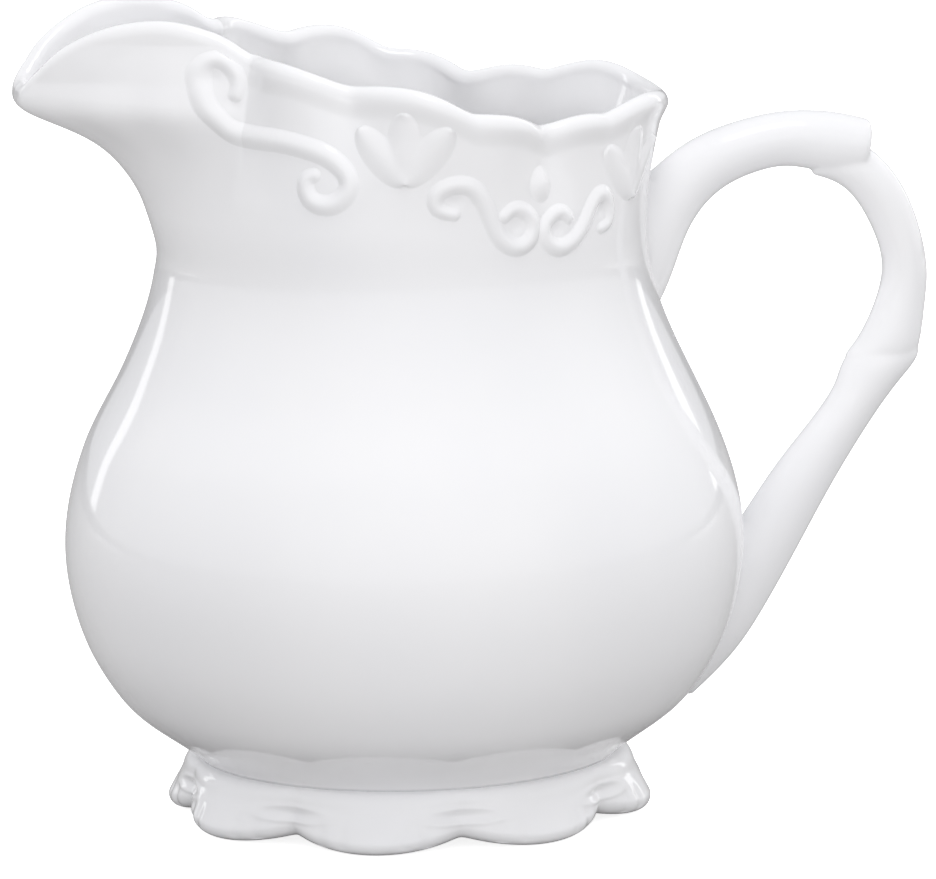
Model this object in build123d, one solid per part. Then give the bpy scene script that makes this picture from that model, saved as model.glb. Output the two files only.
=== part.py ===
from build123d import *
from math import cos, sin, pi, radians, hypot
import os

# White glazed pitcher: a cast body with a pulled spout, a lobed pedestal foot, a handle shaped
# like a pruned branch, and raised ornaments sprigged on below the rim of both sides.
# +Z is up. The origin is on the body's axis, on the plane that the foot stands on. The spout
# points along -X, the handle is at +X, and the ornaments repeat on the -Y and +Y sides.
# Angles round the axis are counted in degrees from the spout's middle, and are positive on the
# -Y side.

# ---- driving dimensions, in millimetres
FOOT_HEIGHT = 13.1  # where the belly starts
FOOT_TOP_RADIUS = 46.5
FOOT_LOBE_RADIUS = 53.0
FOOT_CUSP_RADIUS = 48.4
FOOT_LOBES = 8
FOOT_TURN = 94.0  # degrees from the spout to one cusp
FOOT_WALL = 5.0
FOOT_ARCH_HEIGHT = 2.3  # of the shallow arch under each cusp
FOOT_ARCH_RADIUS = 6.5
FOOT_ARCH_START = 45.2  # distance from the axis, outside a narrow ring that stays flat
BELLY_RADIUS = 74.6
BELLY_HEIGHT = 59.5  # height of the widest line
WAIST_RADIUS = 54.2
WAIST_HEIGHT = 126.0  # where the neck leaves the round belly
WALL = 4.0
FLOOR = 5.0
TOP = 190.0  # above every point of the rim
SPOUT_REACH = 84.0
SPOUT_SPREAD = 38.0  # degrees from the spout's middle to where the neck is plain again
SPOUT_ROOT_HEIGHT = 138.0  # below this the spout is a round swelling of the neck
SPOUT_LIP_HEIGHT = 162.0  # and at this height it is a pointed lip
RELIEF = 1.3  # height of the ornaments over the wall
STROKE = 2.9  # width of a scroll
SEAT_GAP = 0.05  # joint line between the body and what is stuck on it

# Outside of the belly, from the foot to the waist: (radius, height).
BELLY_LINE = [
    (FOOT_TOP_RADIUS, FOOT_HEIGHT),
    (53.9, 18.9),
    (64.0, 27.9),
    (71.3, 41.6),
    (BELLY_RADIUS, BELLY_HEIGHT),
    (72.0, 77.2),
    (64.2, 95.0),
    (57.0, 112.9),
    (WAIST_RADIUS, WAIST_HEIGHT),
]

# Inside of the belly, from the floor to the waist: (radius, height).
BELLY_HOLLOW = [
    (46.5, FOOT_HEIGHT + FLOOR),
    (57.3, 25.0),
    (66.6, 40.0),
    (BELLY_RADIUS - WALL, BELLY_HEIGHT),
    (68.0, 77.2),
    (60.3, 95.0),
    (53.0, 112.9),
    (WAIST_RADIUS - WALL, WAIST_HEIGHT),
]

# Underside of the spout, and the channel over it, along the middle: (height, reach from the axis).
SPOUT_OUTSIDE = [
    (WAIST_HEIGHT, WAIST_RADIUS),
    (131.0, 54.7),
    (136.0, 55.7),
    (141.0, 58.0),
    (146.0, 61.2),
    (150.0, 65.4),
    (154.0, 71.6),
    (158.0, 80.6),
    (160.5, 83.4),
    (163.0, SPOUT_REACH),
    (TOP, SPOUT_REACH),
]
SPOUT_INSIDE = [
    (WAIST_HEIGHT, WAIST_RADIUS - WALL),
    (131.0, 50.6),
    (136.0, 51.6),
    (141.0, 53.6),
    (146.0, 56.1),
    (151.0, 60.4),
    (156.0, 67.2),
    (160.0, 75.4),
    (163.0, 79.4),
    (TOP, 80.4),
]

# How much of the spout's reach is left at an angle, at its lip: (angle, share).
LIP_SHARE = [
    (0.0, 1.0),
    (5.8, 0.945),
    (11.2, 0.77),
    (15.3, 0.655),
    (20.0, 0.5),
    (26.0, 0.35),
    (33.0, 0.16),
    (41.0, 0.0),
]

# The rim seen from the side: (x, height). Each run is one swelling, and ends in a cusp.
RIM_LINE = [
    [(-88.0, 164.3), (-81.5, 164.6), (-77.9, 168.4), (-71.4, 174.2), (-63.0, 178.8),
     (-53.0, 180.4), (-42.0, 177.6), (-33.5, 172.6)],
    [(-33.5, 172.6), (-26.0, 171.2), (-18.0, 167.6)],
    [(-18.0, 167.6), (-7.5, 167.6), (0.5, 165.2), (8.0, 161.2)],
    [(8.0, 161.2), (16.5, 160.0), (24.4, 156.8)],
    [(24.4, 156.8), (32.0, 158.6), (40.0, 157.8)],
    [(40.0, 157.8), (49.0, 160.4), (56.0, 159.6), (66.0, 158.6)],
]

# The handle's lengths, cast in one piece: stations of (outer x, z), (inner x, z), half depth.
ARCH = [
    ((46.0, 131.0), (50.0, 103.0), 7.5),
    ((55.0, 139.0), (60.0, 115.0), 7.0),
    ((62.3, 144.5), (65.5, 128.0), 6.2),
    ((69.5, 148.1), (71.4, 134.8), 5.7),
    ((77.4, 150.7), (79.0, 138.5), 5.5),
    ((87.0, 151.9), (87.0, 139.8), 5.6),
    ((97.0, 151.7), (94.2, 138.6), 5.9),
    ((106.4, 148.8), (99.0, 136.0), 6.3),
]
BOW = [
    ((104.5, 147.0), (98.0, 136.6), 5.0),
    ((111.3, 136.6), (103.4, 131.1), 5.4),
    ((117.3, 125.6), (107.3, 123.4), 5.4),
    ((118.7, 117.0), (108.6, 117.5), 5.4),
    ((117.8, 106.5), (106.0, 107.6), 5.6),
    ((116.3, 98.5), (102.4, 100.9), 6.2),
]
TAIL = [
    ((115.6, 101.0), (103.2, 104.0), 5.2),
    ((115.4, 96.6), (100.4, 97.2), 6.1),
    ((110.0, 88.6), (97.6, 92.6), 5.6),
    ((101.5, 76.6), (91.6, 82.2), 5.3),
    ((91.5, 59.5), (81.2, 68.9), 5.6),
    ((81.0, 42.0), (70.5, 55.0), 6.2),
    ((72.5, 31.5), (61.0, 45.0), 6.8),
    ((62.5, 23.5), (54.0, 35.0), 6.0),
]

# The ornaments of one side, as (angle, height) points along the middle of each stroke.
SPOUT_SCROLL = [
    (38.2, 164.3), (38.3, 167.7), (35.4, 171.2), (31.9, 171.9), (30.2, 169.7), (30.8, 166.0),
    (32.6, 162.0), (35.4, 158.3), (40.4, 155.9), (51.0, 155.4), (60.0, 153.9), (65.2, 151.8),
    (68.8, 148.3), (68.4, 144.5), (64.4, 142.1), (59.8, 143.4), (58.8, 147.0), (60.8, 148.4),
]
FORE_SCROLL = [
    (93.2, 139.8), (89.4, 141.2), (89.4, 144.4), (93.4, 146.2), (98.0, 144.8), (101.4, 139.4),
    (104.0, 134.3), (108.2, 131.8), (112.0, 133.6), (112.2, 137.6), (108.4, 140.1), (105.2, 138.7),
]
AFT_SCROLL = [
    (133.9, 133.1), (137.3, 134.5), (137.6, 138.4), (134.7, 140.5), (131.4, 138.8), (128.5, 135.3),
    (124.9, 132.1), (120.1, 130.6), (116.4, 132.6), (116.4, 136.1), (120.3, 138.2), (123.2, 136.8),
]
BEAD = (115.4, 144.4)
BEAD_SIZE = (2.4, 3.3)
PALMETTES = {"front_palmette": (82.0, 146.6), "rear_palmette": (147.5, 138.2)}
PETAL = (7.6, 2.6)  # half length and half width
PETAL_SPREAD = 40.0  # degrees between petals


def between(line, at):
    """The value of a list of (place, value) pairs at one place, by straight steps."""
    for (a, va), (b, vb) in zip(line, line[1:]):
        if at <= b:
            return va + (vb - va) * (at - a) / (b - a)
    return line[-1][1]


def spout_share(angle, height):
    """1 in the middle of the spout, falling to 0 where the neck is plain."""
    swelling = 0.5 * (1 + cos(pi * min(abs(angle) / SPOUT_SPREAD, 1)))
    lip = between(LIP_SHARE, abs(angle))
    high = (height - SPOUT_ROOT_HEIGHT) / (SPOUT_LIP_HEIGHT - SPOUT_ROOT_HEIGHT)
    return swelling + (lip - swelling) * min(max(high, 0), 1)


def neck_radius(angle, height, reach_line, wall):
    """Radius of the neck's wall at an angle and height, the spout included."""
    flare = 54.0 - 5.5 * cos(radians(angle)) - WAIST_RADIUS
    rise = (height - WAIST_HEIGHT) / (162.0 - WAIST_HEIGHT)
    plain = WAIST_RADIUS + flare * min(rise, 1.3) ** 2 - wall
    return plain + (between(reach_line, height) - plain) * spout_share(angle, height)


def ring(radius_at, height, angles):
    """A closed smooth wire at one height through points at the angles given."""
    points = []
    for angle in angles:
        r = radius_at(angle)
        points.append(Vector(-r * cos(radians(angle)), -r * sin(radians(angle)), height))
    return Wire(Edge.make_spline(points, periodic=True))


def neck_solid(reach_line, wall):
    """The neck from the waist to above the rim, filled."""
    half = [6, 12, 18, 24, 31, 40, 55, 75, 95, 115, 135, 157]
    angles = [0, *half, 180, *[-a for a in reversed(half)]]
    waist = Plane(origin=(0, 0, WAIST_HEIGHT), x_dir=(-1, 0, 0), z_dir=(0, 0, -1))
    sections = [Wire(Edge.make_circle(WAIST_RADIUS - wall, waist))]
    for height, _ in reach_line[1:]:
        sections.append(
            ring(lambda a: neck_radius(a, height, reach_line, wall), height, angles)
        )
    return Solid.make_loft(sections, ruled=True)


def outer_solid(grow):
    """The body's outside, filled, and moved outwards by a distance."""
    belly = turned([(r + grow, z) for r, z in BELLY_LINE])
    reach_line = [(height, reach + grow) for height, reach in SPOUT_OUTSIDE]
    return belly.fuse(neck_solid(reach_line, -grow))


def turned(points):
    """A filled solid of revolution whose side runs through (radius, height) points."""
    bottom, top = points[0][1], points[-1][1]
    side = Spline(*[(r, 0, z) for r, z in points])
    ends = Polyline((points[-1][0], 0, top), (0, 0, top), (0, 0, bottom), (points[0][0], 0, bottom))
    return revolve(make_face(Wire([side.edge(), *ends.edges()])), Axis.Z)


def rim_cut():
    """Everything above the rim, as a block whose underside has the rim's line."""
    edges = [Spline(*[(x, 0, z) for x, z in run]).edge() for run in RIM_LINE]
    first, last = RIM_LINE[0][0], RIM_LINE[-1][-1]
    lid_z = TOP + 10
    corners = [last, (last[0], lid_z), (first[0], lid_z), first]
    lid = Polyline(*[(x, 0, z) for x, z in corners])
    return extrude(make_face(Wire([*edges, *lid.edges()])), amount=100, dir=(0, 1, 0), both=True)


def foot():
    """The lobed skirt that the body stands on, open in the middle and arched under its cusps."""
    angles = [FOOT_TURN + 360 / (4 * FOOT_LOBES) * i for i in range(4 * FOOT_LOBES)]

    def lobed(lobe, cusp):
        def radius_at(angle):
            return cusp + (lobe - cusp) * abs(sin(radians(FOOT_LOBES / 2 * (angle - FOOT_TURN)))) ** 0.7

        return radius_at

    skirt = Solid.make_loft(
        [
            ring(lobed(50.8, 46.6), 0, angles),
            ring(lobed(FOOT_LOBE_RADIUS, FOOT_CUSP_RADIUS), 3.0, angles),
            ring(lobed(50.8, 48.2), 7.6, angles),
            ring(lambda a: FOOT_TOP_RADIUS, FOOT_HEIGHT, angles),
        ],
        ruled=True,
    )
    skirt = skirt.cut(Solid.make_cone(44.0, FOOT_TOP_RADIUS - FOOT_WALL, FOOT_HEIGHT))
    for i in range(FOOT_LOBES):
        outwards = side_plane(FOOT_TURN + 360 / FOOT_LOBES * i)
        drop = Vector(0, 0, FOOT_ARCH_HEIGHT - FOOT_ARCH_RADIUS)
        outwards.origin = outwards.z_dir * FOOT_ARCH_START + drop
        skirt = skirt.cut(Solid.make_cylinder(FOOT_ARCH_RADIUS, 20, outwards))
    return skirt


def handle():
    """The three lengths of the branch and the knots between them, cut to the body's side."""
    lengths = []
    for stations in (ARCH, BOW, TAIL):
        sections = []
        for outer, inner, half_depth in stations:
            across = Vector(outer[0] - inner[0], 0, outer[1] - inner[1])
            middle = Vector((outer[0] + inner[0]) / 2, 0, (outer[1] + inner[1]) / 2)
            plane = Plane(origin=middle, x_dir=across, z_dir=across.cross(Vector(0, 1, 0)))
            sections.append(Wire(Edge.make_ellipse(across.length / 2, half_depth, plane)))
        lengths.append(Solid.make_loft(sections, ruled=False))
    whole = lengths[0].fuse(lengths[1]).fuse(lengths[2])
    return whole.cut(seat)


def side_plane(angle):
    """A plane through the axis's foot that faces outwards at an angle."""
    a = radians(angle)
    return Plane(origin=(0, 0, 0), x_dir=(sin(a), -cos(a), 0), z_dir=(-cos(a), -sin(a), 0))


def stroke(points, middle):
    """A band of the stroke's width through (angle, height) points, drawn on the side plane."""
    flat = [(WAIST_RADIUS * sin(radians(a - middle)), z) for a, z in points]
    band = Sketch()
    for (x0, y0), (x1, y1) in zip(flat, flat[1:]):
        link = Rectangle(hypot(x1 - x0, y1 - y0), STROKE)
        heading = Vector(x1 - x0, y1 - y0).get_signed_angle(Vector(1, 0), Vector(0, 0, -1))
        band += Pos((x0 + x1) / 2, (y0 + y1) / 2) * Rot(0, 0, heading) * link
    for x, y in flat:
        band += Pos(x, y) * Circle(STROKE / 2)
    return band


def palmette(base):
    """Three petals that fan out from a point."""
    length, width = PETAL
    fan = Pos(0, base) * Circle(width)
    for lean in (-PETAL_SPREAD, 0, PETAL_SPREAD):
        fan += Pos(0, base) * Rot(0, 0, lean) * Pos(0, length) * Ellipse(width, length)
    return fan


def ornament(drawing, middle):
    """A drawing on the side plane at an angle, raised on the body's wall."""
    prism = extrude(side_plane(middle) * drawing, amount=100)
    return Part() + raised_layer.intersect(prism)


outside = outer_solid(0)
seat = outer_solid(SEAT_GAP)
hollow = turned(BELLY_HOLLOW).fuse(neck_solid(SPOUT_INSIDE, WALL))
above_rim = rim_cut()
body_shell = outside.cut(hollow).cut(above_rim)

raised_reach = [(height, reach + RELIEF) for height, reach in SPOUT_OUTSIDE]
raised_layer = neck_solid(raised_reach, -RELIEF).cut(seat).cut(above_rim)

drawings = {
    "spout_scroll": (stroke(SPOUT_SCROLL, 48.0), 48.0),
    "fore_scroll": (stroke(FORE_SCROLL, 101.0), 101.0),
    "aft_scroll": (stroke(AFT_SCROLL, 126.0), 126.0),
    "bead": (Pos(0, BEAD[1]) * Ellipse(*BEAD_SIZE), BEAD[0]),
}
for name, (angle, base) in PALMETTES.items():
    drawings[name] = (palmette(base), angle)

parts = {"body_shell": body_shell, "pedestal_foot": foot(), "handle": handle()}
for name, (drawing, angle) in drawings.items():
    left = ornament(drawing, angle)
    parts[f"{name}_left"] = left
    parts[f"{name}_right"] = left.mirror(Plane.XZ)

os.makedirs("parts", exist_ok=True)
for name, solid in parts.items():
    export_step(solid, f"parts/{name}.step")
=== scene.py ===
import math

import bmesh
import bpy
import numpy as np
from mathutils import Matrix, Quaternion, Vector

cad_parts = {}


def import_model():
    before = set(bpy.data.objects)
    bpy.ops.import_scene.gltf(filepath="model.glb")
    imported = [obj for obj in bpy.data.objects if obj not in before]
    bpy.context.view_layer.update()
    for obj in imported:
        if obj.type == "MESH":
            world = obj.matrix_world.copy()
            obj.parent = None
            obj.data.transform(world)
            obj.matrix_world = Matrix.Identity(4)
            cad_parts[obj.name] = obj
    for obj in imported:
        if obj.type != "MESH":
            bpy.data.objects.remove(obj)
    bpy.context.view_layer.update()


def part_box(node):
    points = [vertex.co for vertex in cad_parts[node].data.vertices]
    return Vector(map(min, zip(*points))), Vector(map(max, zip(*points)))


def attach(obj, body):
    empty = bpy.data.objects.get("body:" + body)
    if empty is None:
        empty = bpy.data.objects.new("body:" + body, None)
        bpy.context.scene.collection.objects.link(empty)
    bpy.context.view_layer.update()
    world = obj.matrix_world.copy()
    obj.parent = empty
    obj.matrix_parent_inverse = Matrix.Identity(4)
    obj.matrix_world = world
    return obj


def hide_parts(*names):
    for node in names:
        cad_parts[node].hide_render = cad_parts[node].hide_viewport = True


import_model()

# White glazed pitcher. Each CAD node gets one detailed piece that stands for it, made from
# formulas and a few given points. Shapes are worked out in millimetres in the CAD frame:
# +Z up, the spout along -X, the handle along +X. Angles go round the axis in degrees from the
# spout's middle, and are positive on the -Y side. Both sides of the body are mirror images.

MM = 0.001


def top_of(node):
    """The highest corner of a CAD node's box, in millimetres."""
    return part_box(node)[1] / MM


def bottom_of(node):
    """The lowest corner of a CAD node's box, in millimetres."""
    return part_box(node)[0] / MM


# ---- sizes that come from the frame
FOOT_HEIGHT = top_of("pedestal_foot").z
BELLY_RADIUS = top_of("body_shell").y
SPOUT_REACH = -bottom_of("body_shell").x

# ---- sizes of the body, in millimetres
WALL = 4.0
FLOOR = 5.0
FOOT_TOP_RADIUS = 46.5
WAIST_RADIUS = 54.2
WAIST_HEIGHT = 126.0
RIM_THICKNESS = 4.0
RIM_ROUND = 2.7  # height of the rim's rounded top
BEAD_DEPTH = 7.2  # how far below the crest the rolled bead starts
BEAD_SWELL = 0.85  # how far the bead stands out from the wall
SPOUT_LEAN = 1.1  # how far the shoulder is drawn in on the spout's side
SPOUT_SPREAD = 38.0  # degrees from the spout's middle to where its root ends
SPOUT_ROOT_HEIGHT = 138.0  # below this the spout is a round swelling of the neck
SPOUT_LIP_HEIGHT = 162.0  # and at this height it is a pointed lip
NECK_START = 120.0  # height where the neck starts to flare towards the handle
NECK_FLARE = 5.5  # how far the neck leans towards the handle at the lip's height
PULL_DEPTH = 30.0  # how far below the crest the rim's swellings can still be seen

# Outside of the belly and of the plain neck, and inside of the belly: (height, radius).
BODY_LINE = [
    (FOOT_HEIGHT, FOOT_TOP_RADIUS),
    (15.0, 48.6),
    (18.9, 53.9),
    (23.3, 59.8),
    (30.0, 65.5),
    (37.0, 69.5),
    (46.0, 72.7),
    (59.4, BELLY_RADIUS),
    (72.8, 72.9),
    (86.2, 68.3),
    (99.4, 62.2),
    (112.9, 56.7),
    (121.7, 54.6),
    (130.0, 54.0),
    (140.0, 53.9),
    (160.0, 54.0),
    (185.0, 54.0),
]
BELLY_INSIDE = [
    (FOOT_HEIGHT + FLOOR, 44.0),
    (25.0, 57.3),
    (40.0, 66.6),
    (59.4, BELLY_RADIUS - WALL),
    (77.2, 68.0),
    (95.0, 60.3),
    (112.9, 53.0),
    (WAIST_HEIGHT, WAIST_RADIUS - WALL),
]

# Underside and lip of the spout, along its middle: (height, reach from the axis).
SPOUT_LINE = [
    (118.0, 54.2),
    (WAIST_HEIGHT, 53.9),
    (131.0, 54.5),
    (135.5, 55.6),
    (139.8, 57.3),
    (144.2, 59.9),
    (148.4, 63.5),
    (152.6, 69.4),
    (155.6, 75.6),
    (157.9, 80.6),
    (159.3, 82.8),
    (161.3, SPOUT_REACH - 0.2),
    (163.5, SPOUT_REACH - 0.5),
    (166.0, SPOUT_REACH - 1.2),
]

# How much of the spout's reach is left at an angle, near its lip: (angle, share).
LIP_SHARE = [
    (0.0, 1.0), (5.8, 0.945), (11.2, 0.77), (15.3, 0.655), (20.0, 0.5), (26.0, 0.35),
    (33.0, 0.16), (41.0, 0.0),
]

# The rim's crest, one run for each swelling between cusps: (angle, radius, height).
RIM_RUNS = [
    [(0.0, 81.0, 164.6), (5.8, 80.2, 166.2), (8.9, 76.6, 170.8), (11.2, 73.0, 174.0),
     (15.3, 68.2, 177.4), (20.0, 62.5, 179.3), (26.0, 56.6, 179.6), (33.0, 50.3, 177.2),
     (41.0, 45.7, 172.4)],
    [(41.0, 45.7, 172.4), (55.0, 50.2, 171.2), (69.0, 47.6, 167.0)],
    [(69.0, 47.6, 167.0), (82.0, 53.2, 167.2), (90.0, 55.6, 165.2), (98.0, 54.6, 161.2)],
    [(98.0, 54.6, 161.2), (108.0, 54.6, 160.1), (118.5, 49.5, 156.6)],
    [(118.5, 49.5, 156.6), (128.0, 53.0, 158.2), (138.0, 53.2, 157.5)],
    [(138.0, 53.2, 157.5), (150.0, 57.3, 160.3), (165.0, 58.2, 159.0), (180.0, 57.5, 158.5)],
]
CUSP_BLUR = 0.9  # degrees


def spline(points, at):
    """Reads a natural cubic curve through (place, value) points at the places given."""
    x, y = np.array(points, float).T
    n = len(x)
    h = np.diff(x)
    slope = np.diff(y) / h
    a = np.eye(n)
    b = np.zeros(n)
    for i in range(1, n - 1):
        a[i, i - 1:i + 2] = h[i - 1], 2 * (h[i - 1] + h[i]), h[i]
        b[i] = 6 * (slope[i] - slope[i - 1])
    m = np.linalg.solve(a, b)
    at = np.clip(np.asarray(at, float), x[0], x[-1])
    i = np.clip(np.searchsorted(x, at) - 1, 0, n - 2)
    left, right = x[i + 1] - at, at - x[i]
    bend = (m[i] * left**3 + m[i + 1] * right**3) / (6 * h[i])
    return bend + (y[i] / h[i] - m[i] * h[i] / 6) * left + (y[i + 1] / h[i] - m[i + 1] * h[i] / 6) * right


def ease(t):
    """0 to 1 with no slope at either end."""
    t = np.clip(t, 0.0, 1.0)
    return t * t * (3 - 2 * t)


def blurred(values, sigma):
    """Smooths values that go all the way round, by a Gaussian of sigma degrees."""
    n = len(values)
    turns = np.fft.rfftfreq(n, 360.0 / n)
    return np.fft.irfft(np.fft.rfft(values) * np.exp(-2 * (math.pi * sigma * turns) ** 2), n)


# ---- the rim all the way round, read from the runs
ROUND = np.arange(-180.0, 180.0, 0.1)


def rim_values(column):
    """One column of the rim's runs, at every angle of ROUND."""
    values = np.zeros_like(ROUND)
    away = np.abs(ROUND)
    for k, run in enumerate(RIM_RUNS):
        points = [(p[0], p[column]) for p in run]
        if k == 0:
            points = [(-a, v) for a, v in reversed(points[1:])] + points
        if k == len(RIM_RUNS) - 1:
            points = points + [(360 - a, v) for a, v in reversed(points[:-1])]
        inside = (away >= run[0][0]) & (away <= run[-1][0])
        values[inside] = spline(points, away[inside])
    return values


def at_angle(values, angle):
    """Reads one of the round arrays at any angle."""
    return np.interp(angle, ROUND, values, period=360.0)


CREST_RADIUS = blurred(rim_values(1), CUSP_BLUR)
CREST_HEIGHT = blurred(rim_values(2), CUSP_BLUR)
CREST_SOFT = blurred(CREST_HEIGHT, 4.0)
BEAD = BEAD_SWELL * ease((np.abs(ROUND) - 8.0) / 50.0)


def spout_share(angle, height):
    """1 in the middle of the spout, falling to 0 where the neck is plain."""
    away = np.abs((np.asarray(angle) + 180.0) % 360.0 - 180.0)
    swelling = np.where(away < SPOUT_SPREAD, 0.5 * (1 + np.cos(np.pi * away / SPOUT_SPREAD)), 0.0)
    lip = np.where(away < LIP_SHARE[-1][0], spline(LIP_SHARE, away), 0.0)
    high = ease((height - SPOUT_ROOT_HEIGHT) / (SPOUT_LIP_HEIGHT - SPOUT_ROOT_HEIGHT))
    return swelling * (1 - high) + lip * high


def drawn_in(angle, height):
    """How far the body's side is drawn in towards the spout, from the shoulder to the waist."""
    towards = 0.5 + 0.5 * np.cos(np.radians(angle))
    return SPOUT_LEAN * towards * ease((height - 82.0) / 18.0) * (1 - ease((height - 122.0) / 14.0))


def neck_radius(angle, height):
    """Radius of the body's outside, without what the rim's swellings do to it."""
    rise = np.clip((height - NECK_START) / (SPOUT_LIP_HEIGHT - NECK_START), 0.0, 1.3) ** 2.2
    plain = spline(BODY_LINE, height) - NECK_FLARE * np.cos(np.radians(angle)) * rise
    reach = spline(SPOUT_LINE, height)
    share = spout_share(angle, height) * ease((height - NECK_START) / 8.0)
    return plain + (reach - plain) * share - drawn_in(angle, height)


def rim_pull():
    """How far the rim's swellings move the wall at the crest, blurred more and more."""
    turn = np.gradient(CREST_RADIUS, np.radians(0.1))
    facing = CREST_RADIUS / np.hypot(CREST_RADIUS, turn)
    wall = CREST_RADIUS + (RIM_THICKNESS / 2 - BEAD) / np.maximum(facing, 0.6)
    pull = wall - neck_radius(ROUND, CREST_HEIGHT)
    return np.array([blurred(pull, sigma) for sigma in PULL_BLURS])


PULL_BLURS = [0.3, 1.2, 2.6, 4.5, 7.0, 11.0]  # degrees, at the depths below
PULL_DEPTHS = [0.0, 3.0, 7.0, 12.0, 19.0, PULL_DEPTH]
PULL = rim_pull()

# Small hollows inside the curls of the scrolls: (angle, height, radius, depth).
HOLLOWS = [(32.8, 167.8, 1.8, 1.0), (38.0, 162.4, 1.5, 0.5), (108.1, 136.3, 1.7, 0.35),
           (119.4, 134.4, 1.7, 0.35), (93.3, 142.7, 1.5, 0.5), (134.4, 137.0, 1.4, 0.35)]


def wall_radius(angle, height, bead=True):
    """Radius of the finished outside of the body, from the foot to the rim's round."""
    angle, height = np.broadcast_arrays(np.asarray(angle, float), np.asarray(height, float))
    radius = neck_radius(angle, height)
    depth = np.maximum(at_angle(CREST_SOFT, angle) - height, 0.0)
    fade = 1 - ease(depth / PULL_DEPTH)
    pull = np.zeros_like(radius)
    for k in range(len(PULL_DEPTHS)):
        share = np.interp(depth, PULL_DEPTHS, np.eye(len(PULL_DEPTHS))[k])
        pull += share * at_angle(PULL[k], angle)
    radius = radius + pull * fade
    if bead:
        below = at_angle(CREST_HEIGHT, angle) - height
        radius = radius + at_angle(BEAD, angle) * ease((BEAD_DEPTH - below) / (BEAD_DEPTH - RIM_ROUND))
    for a, z, size, deep in HOLLOWS:
        across = np.radians(np.abs(angle) - a) * WAIST_RADIUS
        radius = radius - deep * np.exp(-(across**2 + (height - z) ** 2) / size**2)
    return radius


def place(angle, radius, height):
    """Points in space, in millimetres."""
    a = np.radians(angle)
    return np.stack(np.broadcast_arrays(-radius * np.cos(a), -radius * np.sin(a), height), -1)


def wall_point(angle, height, bead=True):
    return place(angle, wall_radius(angle, height, bead), height)


def wall_normal(angle, height, bead=True):
    """Outward direction of the body's outside."""
    along = wall_point(angle + 0.3, height, bead) - wall_point(angle - 0.3, height, bead)
    up = wall_point(angle, height + 0.25, bead) - wall_point(angle, height - 0.25, bead)
    out = np.cross(along, up)
    return out / np.linalg.norm(out, axis=-1, keepdims=True)


# ---- meshes

def finish_piece(name, points, faces, nodes, material):
    """Makes a closed smooth mesh, and lets it stand for its CAD nodes."""
    mesh = bpy.data.meshes.new(name)
    mesh.from_pydata((np.asarray(points) * MM).tolist(), [], [list(f) for f in faces])
    bm = bmesh.new()
    bm.from_mesh(mesh)
    bmesh.ops.recalc_face_normals(bm, faces=bm.faces)
    bm.to_mesh(mesh)
    bm.free()
    mesh.shade_smooth()
    piece = bpy.data.objects.new(name, mesh)
    bpy.context.scene.collection.objects.link(piece)
    return dress(piece, nodes, material)


def dress(piece, nodes, material):
    """Gives a piece its material and body, and hides the CAD nodes that it stands for."""
    piece.data.materials.clear()
    piece.data.materials.append(material)
    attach(piece, "root")
    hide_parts(*nodes)
    return piece


def tube_faces(rows, columns, round_rows=False):
    """Quads of a grid that closes round its columns, and round its rows too if asked."""
    last = rows if round_rows else rows - 1
    r, c = np.meshgrid(np.arange(last), np.arange(columns), indexing="ij")
    r2, c2 = (r + 1) % rows, (c + 1) % columns
    quads = [r * columns + c, r * columns + c2, r2 * columns + c2, r2 * columns + c]
    return np.stack([q.ravel() for q in quads], -1).tolist()


def capped(grid):
    """Points and faces of a tube given as rows of points, closed by a point at each end."""
    rows, columns = grid.shape[:2]
    points = np.concatenate([grid.reshape(-1, 3), grid[:1].mean(1), grid[-1:].mean(1)])
    faces = tube_faces(rows, columns)
    first, last = rows * columns, rows * columns + 1
    for c in range(columns):
        n = (c + 1) % columns
        faces.append([first, n, c])
        faces.append([last, (rows - 1) * columns + c, (rows - 1) * columns + n])
    return points, faces


# ---- material

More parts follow.
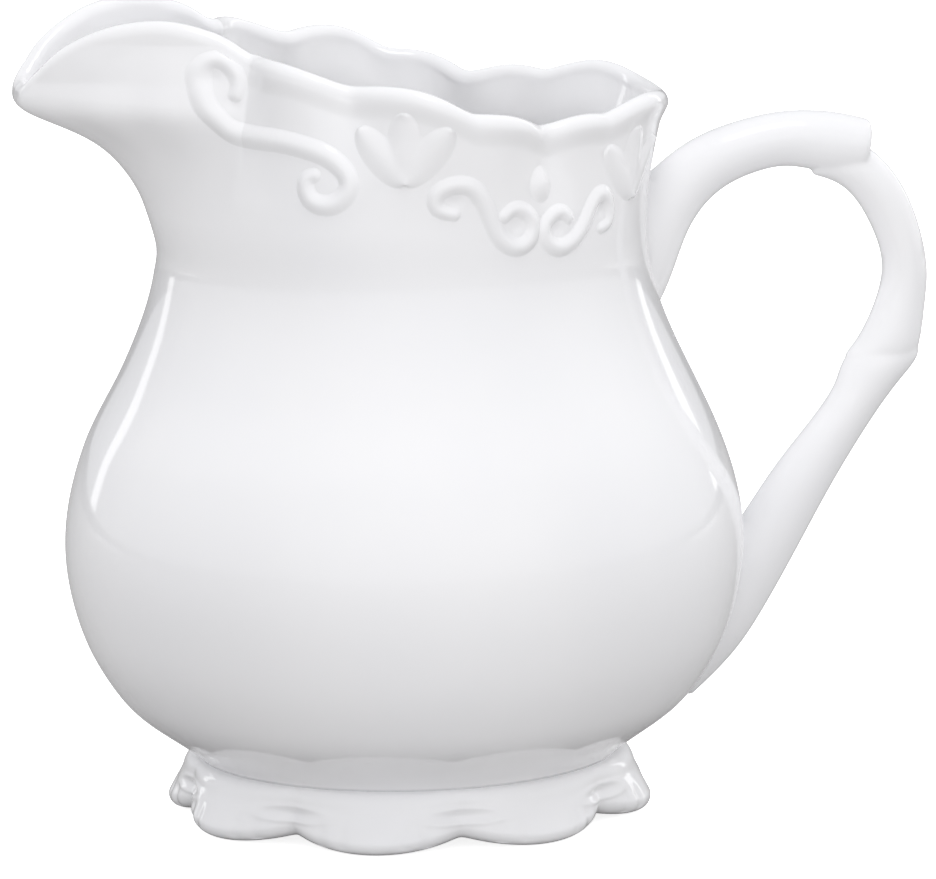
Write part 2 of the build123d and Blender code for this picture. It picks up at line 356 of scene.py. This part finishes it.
def glaze(name, tone=1.0, grain=1.0):
    """White glaze over porcelain: faint clouds of colour, slow waves and a fine skin."""
    material = bpy.data.materials.new(name)
    material.use_nodes = True
    tree = material.node_tree
    nodes, links = tree.nodes, tree.links
    shader = nodes["Principled BSDF"]
    shader.inputs["IOR"].default_value = 1.52
    shader.inputs["Coat Weight"].default_value = 0.35
    shader.inputs["Coat Roughness"].default_value = 0.03
    place_in = nodes.new("ShaderNodeTexCoord").outputs["Object"]

    def noise(scale, detail):
        node = nodes.new("ShaderNodeTexNoise")
        node.inputs["Scale"].default_value = scale
        node.inputs["Detail"].default_value = detail
        links.new(place_in, node.inputs["Vector"])
        return node.outputs["Fac"]

    ramp = nodes.new("ShaderNodeValToRGB")
    ramp.color_ramp.elements[0].position = 0.3
    ramp.color_ramp.elements[0].color = (0.91 * tone, 0.91 * tone, 0.925 * tone, 1)
    ramp.color_ramp.elements[1].position = 0.7
    ramp.color_ramp.elements[1].color = (0.935 * tone, 0.932 * tone, 0.94 * tone, 1)
    links.new(noise(22.0, 3.0), ramp.inputs["Fac"])
    links.new(ramp.outputs["Color"], shader.inputs["Base Color"])

    rough = nodes.new("ShaderNodeMapRange")
    rough.inputs["To Min"].default_value = 0.07
    rough.inputs["To Max"].default_value = 0.13
    links.new(noise(60.0, 2.0), rough.inputs["Value"])
    links.new(rough.outputs["Result"], shader.inputs["Roughness"])

    waves = nodes.new("ShaderNodeBump")
    waves.inputs["Strength"].default_value = 0.5
    waves.inputs["Distance"].default_value = 0.00025 * grain
    links.new(noise(38.0, 1.0), waves.inputs["Height"])
    skin = nodes.new("ShaderNodeBump")
    skin.inputs["Strength"].default_value = 0.25
    skin.inputs["Distance"].default_value = 0.00001 * grain
    links.new(noise(900.0, 2.0), skin.inputs["Height"])
    links.new(waves.outputs["Normal"], skin.inputs["Normal"])
    links.new(skin.outputs["Normal"], shader.inputs["Normal"])
    links.new(skin.outputs["Normal"], shader.inputs["Coat Normal"])
    return material


# ---- the body

AROUND = 720
TURN = np.arange(AROUND) * 360.0 / AROUND - 180.0


def body_rows():
    """The body's rows: underside, outside, rolled rim, inside, and floor."""
    rows = []
    for r in np.linspace(2.0, FOOT_TOP_RADIUS - 1.5, 8):
        rows.append(place(TURN, r, FOOT_HEIGHT + 0.4 * (1 - (r / FOOT_TOP_RADIUS) ** 2)))
    crest = at_angle(CREST_HEIGHT, TURN)
    for z in np.linspace(FOOT_HEIGHT, WAIST_HEIGHT, 130):
        rows.append(wall_point(TURN, np.full(AROUND, z)))
    for t in np.linspace(0, 1, 64)[1:]:
        rows.append(wall_point(TURN, WAIST_HEIGHT + (crest - BEAD_DEPTH - WAIST_HEIGHT) * t))
    for depth in np.linspace(BEAD_DEPTH, RIM_ROUND, 14)[1:]:
        rows.append(wall_point(TURN, crest - depth))
    edge = rows[-1]
    along = np.roll(edge, -1, 0) - np.roll(edge, 1, 0)
    out = np.cross(along, (0, 0, 1))
    out /= np.linalg.norm(out, axis=1)[:, None]
    for lean in np.linspace(0, math.pi, 17)[1:]:
        half = RIM_THICKNESS / 2
        sideways = out * (half * math.cos(lean) - half)
        rows.append(edge + sideways + np.array([0, 0, RIM_ROUND * math.sin(lean)]))
    bead = at_angle(BEAD, TURN)
    for t in np.linspace(0, 1, 56)[1:]:
        z = crest - RIM_ROUND + (WAIST_HEIGHT - crest + RIM_ROUND) * t
        depth = crest - RIM_ROUND - z
        settled = ease(depth / 9.0)[:, None]
        inward = out * (1 - settled) + wall_normal(TURN, z, False) * settled
        inward /= np.linalg.norm(inward, axis=1)[:, None]
        thick = (WALL - bead)[:, None] * (1 - settled) + WALL * settled
        rows.append(wall_point(TURN, z, False) - inward * thick)
    for z in np.linspace(WAIST_HEIGHT, FOOT_HEIGHT + FLOOR, 90)[1:]:
        rows.append(place(TURN, spline(BELLY_INSIDE, z) - drawn_in(TURN, z), z))
    for r in np.linspace(42.0, 2.0, 8):
        rows.append(place(TURN, r, FOOT_HEIGHT + FLOOR - 0.5 * (1 - r / 44.0)))
    return np.array(rows)


# ---- raised ornaments

RELIEF = 1.0  # height over the wall
HIDE = 0.02  # how far an ornament's feathered edge lies under the wall
ROOT = 1.8  # how deep an ornament's hidden back lies in the wall
RELIEF_STEP = 0.25  # of the grid that an ornament is made on, in degrees and millimetres

# Strokes of one side as (angle, height, half width), along their middle.
SPOUT_SCROLL = [
    (38.4, 164.3, 1.7), (38.5, 167.5, 1.9), (35.8, 171.0, 2.0), (32.6, 171.6, 2.0), (30.9, 169.5, 2.0),
    (31.4, 166.0, 2.0), (33.0, 162.0, 2.2), (35.7, 158.3, 2.5), (40.4, 155.9, 2.7), (51.0, 155.4, 2.7),
    (60.0, 153.9, 2.6), (65.2, 151.8, 2.5), (68.8, 148.3, 2.4), (68.4, 144.5, 2.4), (64.4, 142.1, 2.4),
    (59.8, 143.4, 2.3), (58.8, 147.0, 2.1), (60.8, 148.4, 1.7),
]
FORE_SCROLL = [
    (93.2, 139.8, 1.5), (89.4, 141.2, 1.8), (89.4, 144.4, 2.1), (93.4, 146.2, 2.2), (98.0, 144.8, 2.2),
    (101.4, 139.4, 2.2), (104.0, 134.3, 2.2), (108.2, 131.8, 2.2), (112.0, 133.6, 2.1), (112.2, 137.6, 2.0),
    (108.4, 140.1, 1.9), (105.2, 138.7, 1.7),
]
AFT_SCROLL = [
    (133.9, 133.1, 1.4), (137.3, 134.5, 1.7), (137.6, 138.4, 2.0), (134.7, 140.5, 2.1), (131.4, 138.8, 2.1),
    (128.5, 135.3, 2.2), (124.9, 132.1, 2.2), (120.1, 130.6, 2.2), (116.4, 132.6, 2.1), (116.4, 136.1, 2.0),
    (120.3, 138.2, 1.9), (123.2, 136.8, 1.7),
]
BEAD_AT = (115.4, 144.6)
BEAD_SIZE = (3.3, 4.1)
FRONT_PALMETTE = (82.0, 146.6)
REAR_PALMETTE = (147.5, 138.2)
PETAL_LENGTH = 15.5
PETAL_HALF = 3.4
PETALS = [(-40.0, 1.0), (0.0, 0.8), (40.0, 1.0)]  # lean in degrees, and share of the height
PETAL_EDGE = 1.15  # how far a petal's feathered edge reaches past its width
BUD_HEIGHT = 5.4  # middle of the round bud that joins the petals, over their root
BUD_RADIUS = 6.6
BUD_SHARE = 0.85
PALMETTE_SHARE = 0.75  # height of a palmette as a share of a scroll's


def rounded(distance, half):
    """Cross-section of a stroke: round on top, and feathered at its foot."""
    t = np.clip(distance / half, 0.0, 1.0)
    return (1 - t * t) ** 1.4


def merged(one, other):
    """Two heights as one soft form."""
    return (one**3 + other**3) ** (1 / 3)


def scroll_height(points, angle, height):
    """Height of a stroke over the wall, and whether a place is near enough to it."""
    turns = np.arange(len(points))
    fine = np.linspace(0, len(points) - 1, 12 * len(points))
    a, z, half = (spline(list(zip(turns, column)), fine) for column in zip(*points))
    best = np.zeros(angle.shape)
    near = np.zeros(angle.shape, bool)
    for i in range(len(fine)):
        across = np.radians(angle - a[i]) * WAIST_RADIUS
        distance = np.hypot(across, height - z[i])
        best = np.maximum(best, rounded(distance, half[i]) * min(1.0, half[i] / 2.3))
        near |= distance < half[i] + 0.5
    return best * RELIEF, near


def palmette_height(base, angle, height):
    """Three petals that fan out from a point, and the bud they grow from."""
    x = np.radians(angle - base[0]) * WAIST_RADIUS
    y = height - base[1]
    total = np.zeros(angle.shape)
    near = np.zeros(angle.shape, bool)
    for lean, rise in PETALS:
        s = math.radians(lean)
        along = (x * math.sin(s) + y * math.cos(s)) / PETAL_LENGTH
        aside = x * math.cos(s) - y * math.sin(s)
        width = PETAL_HALF * np.sqrt(np.clip(1 - (2 * along - 1) ** 2, 0.0, 1.0)) ** 0.8 + 0.01
        inside = (along > 0) & (along < 1)
        petal = np.where(inside, rounded(np.abs(aside), width * PETAL_EDGE), 0.0)
        total = merged(total, petal * rise)
        near |= (along > -0.05) & (along < 1.05) & (np.abs(aside) < PETAL_HALF + 1.2)
    bud = np.hypot(x, y - BUD_HEIGHT)
    total = merged(total, BUD_SHARE * rounded(bud, BUD_RADIUS))
    near |= bud < BUD_RADIUS + 0.6
    return total * RELIEF * PALMETTE_SHARE, near


def bead_height(angle, height):
    """An oval bead."""
    x = np.radians(angle - BEAD_AT[0]) * WAIST_RADIUS / BEAD_SIZE[0]
    y = (height - BEAD_AT[1]) / BEAD_SIZE[1]
    distance = np.hypot(x, y)
    return rounded(distance, 1.0) * RELIEF * 1.1, distance < 1.25


def raised(name, relief, angles, heights, side, material):
    """An ornament as a closed mesh: its relief over the wall, and a hidden back in the wall."""
    angle, height = np.meshgrid(
        np.arange(*angles, RELIEF_STEP), np.arange(*heights, RELIEF_STEP), indexing="ij"
    )
    lift, near = relief(angle, height)
    near &= height < at_angle(CREST_HEIGHT, angle) - RIM_ROUND - 0.3
    cells = near[:-1, :-1] & near[1:, :-1] & near[:-1, 1:] & near[1:, 1:]
    turned = angle * side
    wall = wall_point(turned, height)
    out = wall_normal(turned, height)
    front = wall + out * (lift - HIDE)[..., None]
    back = wall - out * ROOT
    used = np.zeros(near.shape, bool)
    for i, j in ((0, 0), (1, 0), (0, 1), (1, 1)):
        used[i:i + cells.shape[0], j:j + cells.shape[1]] |= cells
    index = -np.ones(near.shape, int)
    index[used] = np.arange(used.sum())
    count = used.sum()
    points = np.concatenate([front[used], back[used]])
    faces = []
    edges = {}
    for i, j in zip(*np.nonzero(cells)):
        quad = [index[i, j], index[i + 1, j], index[i + 1, j + 1], index[i, j + 1]]
        faces.append(quad)
        faces.append([q + count for q in reversed(quad)])
        for a, b in zip(quad, quad[1:] + quad[:1]):
            edges[(a, b)] = edges.get((a, b), 0) + 1
    for a, b in edges:
        if (b, a) not in edges:
            faces.append([b, a, a + count, b + count])
    return finish_piece(name, points, faces, [name], material)


# ---- the foot

LOBES = 8
LOBE_TURN = 94.0  # degrees from the spout to one cusp
EYE_SIZE = (8.0, 1.5)  # half width and half height of the dimple over each cusp
EYE_HEIGHT = 7.6
EYE_DEPTH = 0.6
EYE_RIM = 0.22
FLUTES = [9.5, 15.0]  # degrees from a cusp
FLUTE_WIDTH = 1.6
FLUTE_DEPTH = 0.4
# Skirt at the middle of a lobe and at a cusp, from the joint under the belly, round the lower
# edge and up the well: (radius, height).
LOBE_LINE = [
    (45.6, 14.0), (46.2, 13.2), (47.9, 12.7), (49.4, 11.3), (50.1, 9.5), (50.9, 7.8), (52.0, 5.9),
    (53.1, 3.9), (53.6, 2.6), (53.2, 1.1), (51.8, 0.2), (50.0, 0.0), (48.2, 0.3), (46.6, 1.6),
    (45.0, 5.0), (43.4, 9.0), (42.0, 13.0), (42.0, 14.0),
]
CUSP_LINE = [
    (45.6, 14.0), (46.2, 13.2), (47.4, 12.7), (48.3, 11.5), (48.5, 10.0), (48.6, 8.4), (48.8, 7.0),
    (48.8, 5.8), (48.8, 4.8), (48.3, 3.6), (47.4, 2.8), (46.4, 2.5), (45.5, 2.7), (44.8, 3.6),
    (44.0, 6.0), (43.0, 9.5), (42.0, 13.0), (42.0, 14.0),
]


def foot_rows():
    """Rows of the skirt's points, round its wall and back to the first."""
    off = (TURN - LOBE_TURN + 180.0 / LOBES) % (360.0 / LOBES) - 180.0 / LOBES  # from the nearest cusp
    swell = np.sqrt(np.sin(np.radians(np.abs(off) * LOBES / 2)) ** 2 + 0.012) ** 0.75
    swell = (swell - swell.min()) / (swell.max() - swell.min())
    steps = np.arange(len(LOBE_LINE))
    fine = np.linspace(0, steps[-1], 120)
    lobe = np.stack([spline(list(zip(steps, c)), fine) for c in zip(*LOBE_LINE)], -1)
    cusp = np.stack([spline(list(zip(steps, c)), fine) for c in zip(*CUSP_LINE)], -1)
    rows = []
    for on_lobe, on_cusp in zip(lobe, cusp):
        radius = on_cusp[0] + (on_lobe[0] - on_cusp[0]) * swell
        height = on_cusp[1] + (on_lobe[1] - on_cusp[1]) * swell
        if on_lobe[0] > 47.0 and on_lobe[1] > 0.5:
            across = np.radians(off) * 48.5
            from_eye = np.hypot(across / EYE_SIZE[0], (height - EYE_HEIGHT) / EYE_SIZE[1])
            radius = radius - EYE_DEPTH * (1 - ease(from_eye))
            radius = radius + EYE_RIM * np.exp(-(((from_eye - 1.15) / 0.3) ** 2))
            low = ease((8.0 - height) / 3.5) * ease((height - 0.6) / 1.5)
            flutes = np.zeros_like(off)
            for middle in FLUTES:
                flutes += np.exp(-(((np.abs(off) - middle) / FLUTE_WIDTH) ** 2)) * (1.15 - middle / 40)
            radius = radius - FLUTE_DEPTH * flutes * low
        rows.append(place(TURN, radius, height))
    return np.array(rows)


# ---- the handle

# The branch's lengths: stations of (outer x, z), (inner x, z), half depth.
ARCH = [
    ((46.0, 131.0), (50.0, 99.0), 7.5),
    ((55.0, 138.0), (58.6, 111.5), 7.0),
    ((62.0, 143.4), (64.2, 125.2), 6.2),
    ((69.5, 147.3), (71.4, 134.0), 5.8),
    ((78.5, 149.9), (79.6, 137.8), 5.6),
    ((87.5, 151.1), (87.4, 138.8), 5.6),
    ((97.0, 150.5), (95.6, 137.2), 5.8),
    ((105.0, 148.6), (102.6, 136.8), 5.6),
]
BOW = [
    ((99.0, 143.5), (93.0, 136.6), 3.6),
    ((104.5, 142.6), (98.4, 134.4), 4.8),
    ((110.4, 137.2), (102.9, 129.9), 5.3),
    ((115.2, 128.2), (106.4, 123.2), 5.4),
    ((118.0, 116.5), (108.2, 115.8), 5.4),
    ((117.6, 107.0), (106.6, 107.9), 5.5),
    ((116.2, 98.0), (103.2, 100.8), 5.9),
    ((114.0, 94.5), (99.8, 96.4), 5.2),
]
TAIL = [
    ((115.3, 99.5), (104.4, 101.0), 4.4),
    ((115.9, 95.4), (99.2, 94.6), 5.9),
    ((111.2, 89.4), (97.0, 89.2), 5.9),
    ((104.5, 80.4), (91.6, 81.6), 5.4),
    ((96.3, 67.6), (84.0, 72.4), 5.5),
    ((88.5, 54.0), (76.0, 61.2), 5.9),
    ((80.5, 40.4), (67.5, 49.5), 6.4),
    ((73.1, 30.2), (60.0, 40.0), 6.8),
    ((64.0, 21.6), (54.0, 32.0), 6.4),
]
END_ROUND = [(0.93, 0.7), (0.78, 1.1), (0.4, 1.3)]  # shrink of a length's end, and how far out
VOXEL = 0.5


def branch(stations):
    """Rows of points of one length of the handle, with slightly rounded ends."""
    steps = np.arange(len(stations))
    fine = np.linspace(0, steps[-1], 20 * len(stations))
    columns = [(o[0], o[1], i[0], i[1], d) for o, i, d in stations]
    ox, oz, ix, iz, deep = (spline(list(zip(steps, c)), fine) for c in zip(*columns))
    middle = np.stack([(ox + ix) / 2, 0 * ox, (oz + iz) / 2], -1)
    half = np.stack([(ox - ix) / 2, 0 * ox, (oz - iz) / 2], -1)
    around = np.linspace(0, 2 * math.pi, 48, endpoint=False)
    rows = []
    for m, h, d in zip(middle, half, deep):
        ring = m + np.outer(np.cos(around), h) + np.outer(np.sin(around), (0, d, 0))
        rows.append(ring)
    ends = []
    for ring, beyond in ((rows[0], middle[0] - middle[1]), (rows[-1], middle[-1] - middle[-2])):
        step = beyond / np.linalg.norm(beyond)
        centre = ring.mean(0)
        ends.append([centre + (ring - centre) * shrink + step * out for shrink, out in END_ROUND])
    return np.array(list(reversed(ends[0])) + rows + ends[1])


def wall_slab(heights, spread):
    """A piece of the body's wall under a root of the handle, just under its surface."""
    angle, height = np.meshgrid(
        np.linspace(180 - spread, 180 + spread, 40), np.linspace(*heights, 60), indexing="ij"
    )
    out = wall_normal(angle, height)
    wall = wall_point(angle, height)
    front, back = wall - 0.25 * out, wall - 2.6 * out
    loop = np.concatenate([front, back[:, ::-1]], 1)
    return capped(loop)


def handle_piece(material):
    """The handle's three lengths and its two roots, grown together and softened."""
    points, faces = [], []
    solids = [capped(branch(length)) for length in (ARCH, BOW, TAIL)]
    solids += [wall_slab((94.0, 148.0), 13.0), wall_slab((20.0, 76.0), 11.0)]
    for p, f in solids:
        start = sum(len(q) for q in points)
        points.append(p)
        faces += [[v + start for v in face] for face in f]
    piece = finish_piece("handle_rough", np.concatenate(points), faces, [], material)
    grow = piece.modifiers.new("grow", "REMESH")
    grow.mode = "VOXEL"
    grow.voxel_size = VOXEL * MM
    grown = bpy.data.meshes.new_from_object(piece.evaluated_get(bpy.context.evaluated_depsgraph_get()))
    bpy.data.objects.remove(piece)
    piece = bpy.data.objects.new("handle", grown)
    bpy.context.scene.collection.objects.link(piece)
    at = np.zeros(len(grown.vertices) * 3, np.float32)
    grown.vertices.foreach_get("co", at)
    at = at.reshape(-1, 3) / MM
    angle = np.degrees(np.arctan2(-at[:, 1], -at[:, 0]))
    above = np.hypot(at[:, 0], at[:, 1]) - wall_radius(angle, at[:, 2])
    root = piece.vertex_groups.new(name="root")
    for level in range(1, 11):
        share = level / 10
        inside = np.abs(1 - ease((above - 1.0) / 4.0) - share) <= 0.05
        root.add(np.nonzero(inside)[0].tolist(), share, "REPLACE")
    soften(piece, 5)
    soften(piece, 14, "root")
    return piece


def soften(piece, times, group=""):
    """Adds a smoothing modifier."""
    smooth = piece.modifiers.new("soften", "SMOOTH")
    smooth.factor = 0.5
    smooth.iterations = times
    smooth.vertex_group = group


def settle(piece):
    """Applies a piece's modifiers."""
    done = bpy.data.meshes.new_from_object(piece.evaluated_get(bpy.context.evaluated_depsgraph_get()))
    piece.modifiers.clear()
    piece.data = done
    done.shade_smooth()
    return piece


# ---- build the pieces

body_glaze = glaze("body_glaze")
relief_glaze = glaze("relief_glaze", grain=0.6)
foot_glaze = glaze("foot_glaze", tone=1.01, grain=0.8)
handle_glaze = glaze("handle_glaze", tone=1.005, grain=0.8)

points, faces = capped(body_rows())
finish_piece("body", points, faces, ["body_shell"], body_glaze)

rows = foot_rows()
finish_piece("foot", rows.reshape(-1, 3), tube_faces(*rows.shape[:2], True), ["pedestal_foot"], foot_glaze)

handle = settle(handle_piece(handle_glaze))
dress(handle, ["handle"], handle_glaze)

ORNAMENTS = {
    "spout_scroll": (lambda a, z: scroll_height(SPOUT_SCROLL, a, z), (21.0, 76.0), (137.0, 178.0)),
    "fore_scroll": (lambda a, z: scroll_height(FORE_SCROLL, a, z), (84.0, 117.0), (126.0, 151.0)),
    "aft_scroll": (lambda a, z: scroll_height(AFT_SCROLL, a, z), (111.0, 142.0), (125.0, 146.0)),
    "bead": (bead_height, (108.0, 121.0), (137.0, 152.0)),
    "front_palmette": (lambda a, z: palmette_height(FRONT_PALMETTE, a, z), (66.0, 98.0), (139.0, 166.0)),
    "rear_palmette": (lambda a, z: palmette_height(REAR_PALMETTE, a, z), (131.0, 164.0), (130.0, 157.0)),
}
for name, (relief, angles, heights) in ORNAMENTS.items():
    raised(f"{name}_left", relief, angles, heights, 1, relief_glaze)
    raised(f"{name}_right", relief, angles, heights, -1, relief_glaze)

# ---- floor, light and camera

FLOOR_SIZE = 12.0
AIM = Vector((0.01487, 0.00155, 0.0809))  # what the camera looks at, in metres
CAMERA_DISTANCE = 1.98
LIGHT_AIM = Vector((0.01, 0, 0.09))
# Lights: name, azimuth from the camera's side, elevation, distance, size, radiance, and whether
# the glaze mirrors it.
LIGHTS = [
    ("overhead", 12.0, 64.0, 1.2, (0.4, 0.35), 4.0, True),
    ("zenith", 0.0, 88.0, 1.3, (0.6, 0.6), 2.4, False),
    ("front", -5.0, 11.0, 1.6, (3.4, 0.8), 1.6, False),
    ("left", -125.0, 14.0, 1.5, (0.45, 1.0), 3.5, False),
    ("right", 112.0, 14.0, 1.5, (0.45, 1.0), 4.5, False),
    ("left_band", -142.0, 16.0, 1.5, (0.16, 0.9), 1.2, True),
    ("right_band", 128.0, 16.0, 1.5, (0.16, 0.9), 1.2, True),
]


def floor():
    """A plain pale floor. Seen straight it is white, and it throws back a soft grey."""
    mesh = bpy.data.meshes.new("floor")
    half = FLOOR_SIZE / 2
    corners = [(-half, -half), (half, -half), (half, half), (-half, half)]
    mesh.from_pydata([(x, y, -0.0002) for x, y in corners], [], [(0, 1, 2, 3)])
    piece = bpy.data.objects.new("floor", mesh)
    bpy.context.scene.collection.objects.link(piece)
    material = bpy.data.materials.new("floor")
    material.use_nodes = True
    nodes, links = material.node_tree.nodes, material.node_tree.links
    nodes.clear()
    seen = nodes.new("ShaderNodeBsdfDiffuse")
    seen.inputs["Color"].default_value = (0.95, 0.95, 0.95, 1)
    glow = nodes.new("ShaderNodeEmission")
    glow.inputs["Color"].default_value = (1, 1, 1, 1)
    glow.inputs["Strength"].default_value = 0.85
    both = nodes.new("ShaderNodeAddShader")
    thrown = nodes.new("ShaderNodeBsdfDiffuse")
    thrown.inputs["Color"].default_value = (0.43, 0.425, 0.42, 1)
    path = nodes.new("ShaderNodeLightPath")
    mix = nodes.new("ShaderNodeMixShader")
    out = nodes.new("ShaderNodeOutputMaterial")
    links.new(seen.outputs[0], both.inputs[0])
    links.new(glow.outputs[0], both.inputs[1])
    links.new(path.outputs["Is Camera Ray"], mix.inputs["Fac"])
    links.new(thrown.outputs[0], mix.inputs[1])
    links.new(both.outputs[0], mix.inputs[2])
    links.new(mix.outputs[0], out.inputs["Surface"])
    mesh.materials.append(material)


def world():
    """White behind everything, and an even light from all sides."""
    made = bpy.data.worlds.new("studio")
    bpy.context.scene.world = made
    made.use_nodes = True
    nodes, links = made.node_tree.nodes, made.node_tree.links
    nodes.clear()
    seen = nodes.new("ShaderNodeBackground")
    seen.inputs["Strength"].default_value = 1.0
    seen.inputs["Color"].default_value = (1, 1, 1, 1)
    light = nodes.new("ShaderNodeBackground")
    light.inputs["Color"].default_value = (0.97, 0.975, 1.0, 1)
    light.inputs["Strength"].default_value = 0.62
    path = nodes.new("ShaderNodeLightPath")
    mix = nodes.new("ShaderNodeMixShader")
    out = nodes.new("ShaderNodeOutputWorld")
    links.new(path.outputs["Is Camera Ray"], mix.inputs["Fac"])
    links.new(light.outputs[0], mix.inputs[1])
    links.new(seen.outputs[0], mix.inputs[2])
    links.new(mix.outputs[0], out.inputs["Surface"])


def towards(azimuth, elevation):
    """Direction from the pitcher to a place round it. Azimuth 0 is the -Y side."""
    a, e = math.radians(azimuth), math.radians(elevation)
    return Vector((math.sin(a) * math.cos(e), -math.cos(a) * math.cos(e), math.sin(e)))


def soft_box(name, azimuth, elevation, distance, size, radiance, mirrored):
    """A rectangular light that looks at the pitcher."""
    back = towards(azimuth, elevation)
    light = bpy.data.lights.new(name, "AREA")
    light.shape = "RECTANGLE"
    light.size, light.size_y = size
    light.energy = radiance * math.pi * size[0] * size[1]
    lamp = bpy.data.objects.new(name, light)
    lamp.location = LIGHT_AIM + back * distance
    lamp.rotation_mode = "QUATERNION"
    lamp.rotation_quaternion = (-back).to_track_quat("-Z", "Y")
    lamp.visible_camera = False
    lamp.visible_glossy = mirrored
    bpy.context.scene.collection.objects.link(lamp)


def camera():
    """A long lens from a little above, turned to the spout's side."""
    back = towards(-10.0, 10.3)
    roll = math.radians(1.0)
    data = bpy.data.cameras.new("camera")
    data.lens = 346.15
    data.sensor_width = 36.0
    eye = bpy.data.objects.new("camera", data)
    eye.location = AIM + back * CAMERA_DISTANCE
    eye.rotation_mode = "QUATERNION"
    eye.rotation_quaternion = (-back).to_track_quat("-Z", "Y") @ Quaternion((0, 0, 1), -roll)
    data.clip_start, data.clip_end = 0.05, 50
    bpy.context.scene.collection.objects.link(eye)
    bpy.context.scene.camera = eye


floor()
world()
for light in LIGHTS:
    soft_box(*light)
camera()
bpy.context.scene.view_settings.view_transform = "Standard"
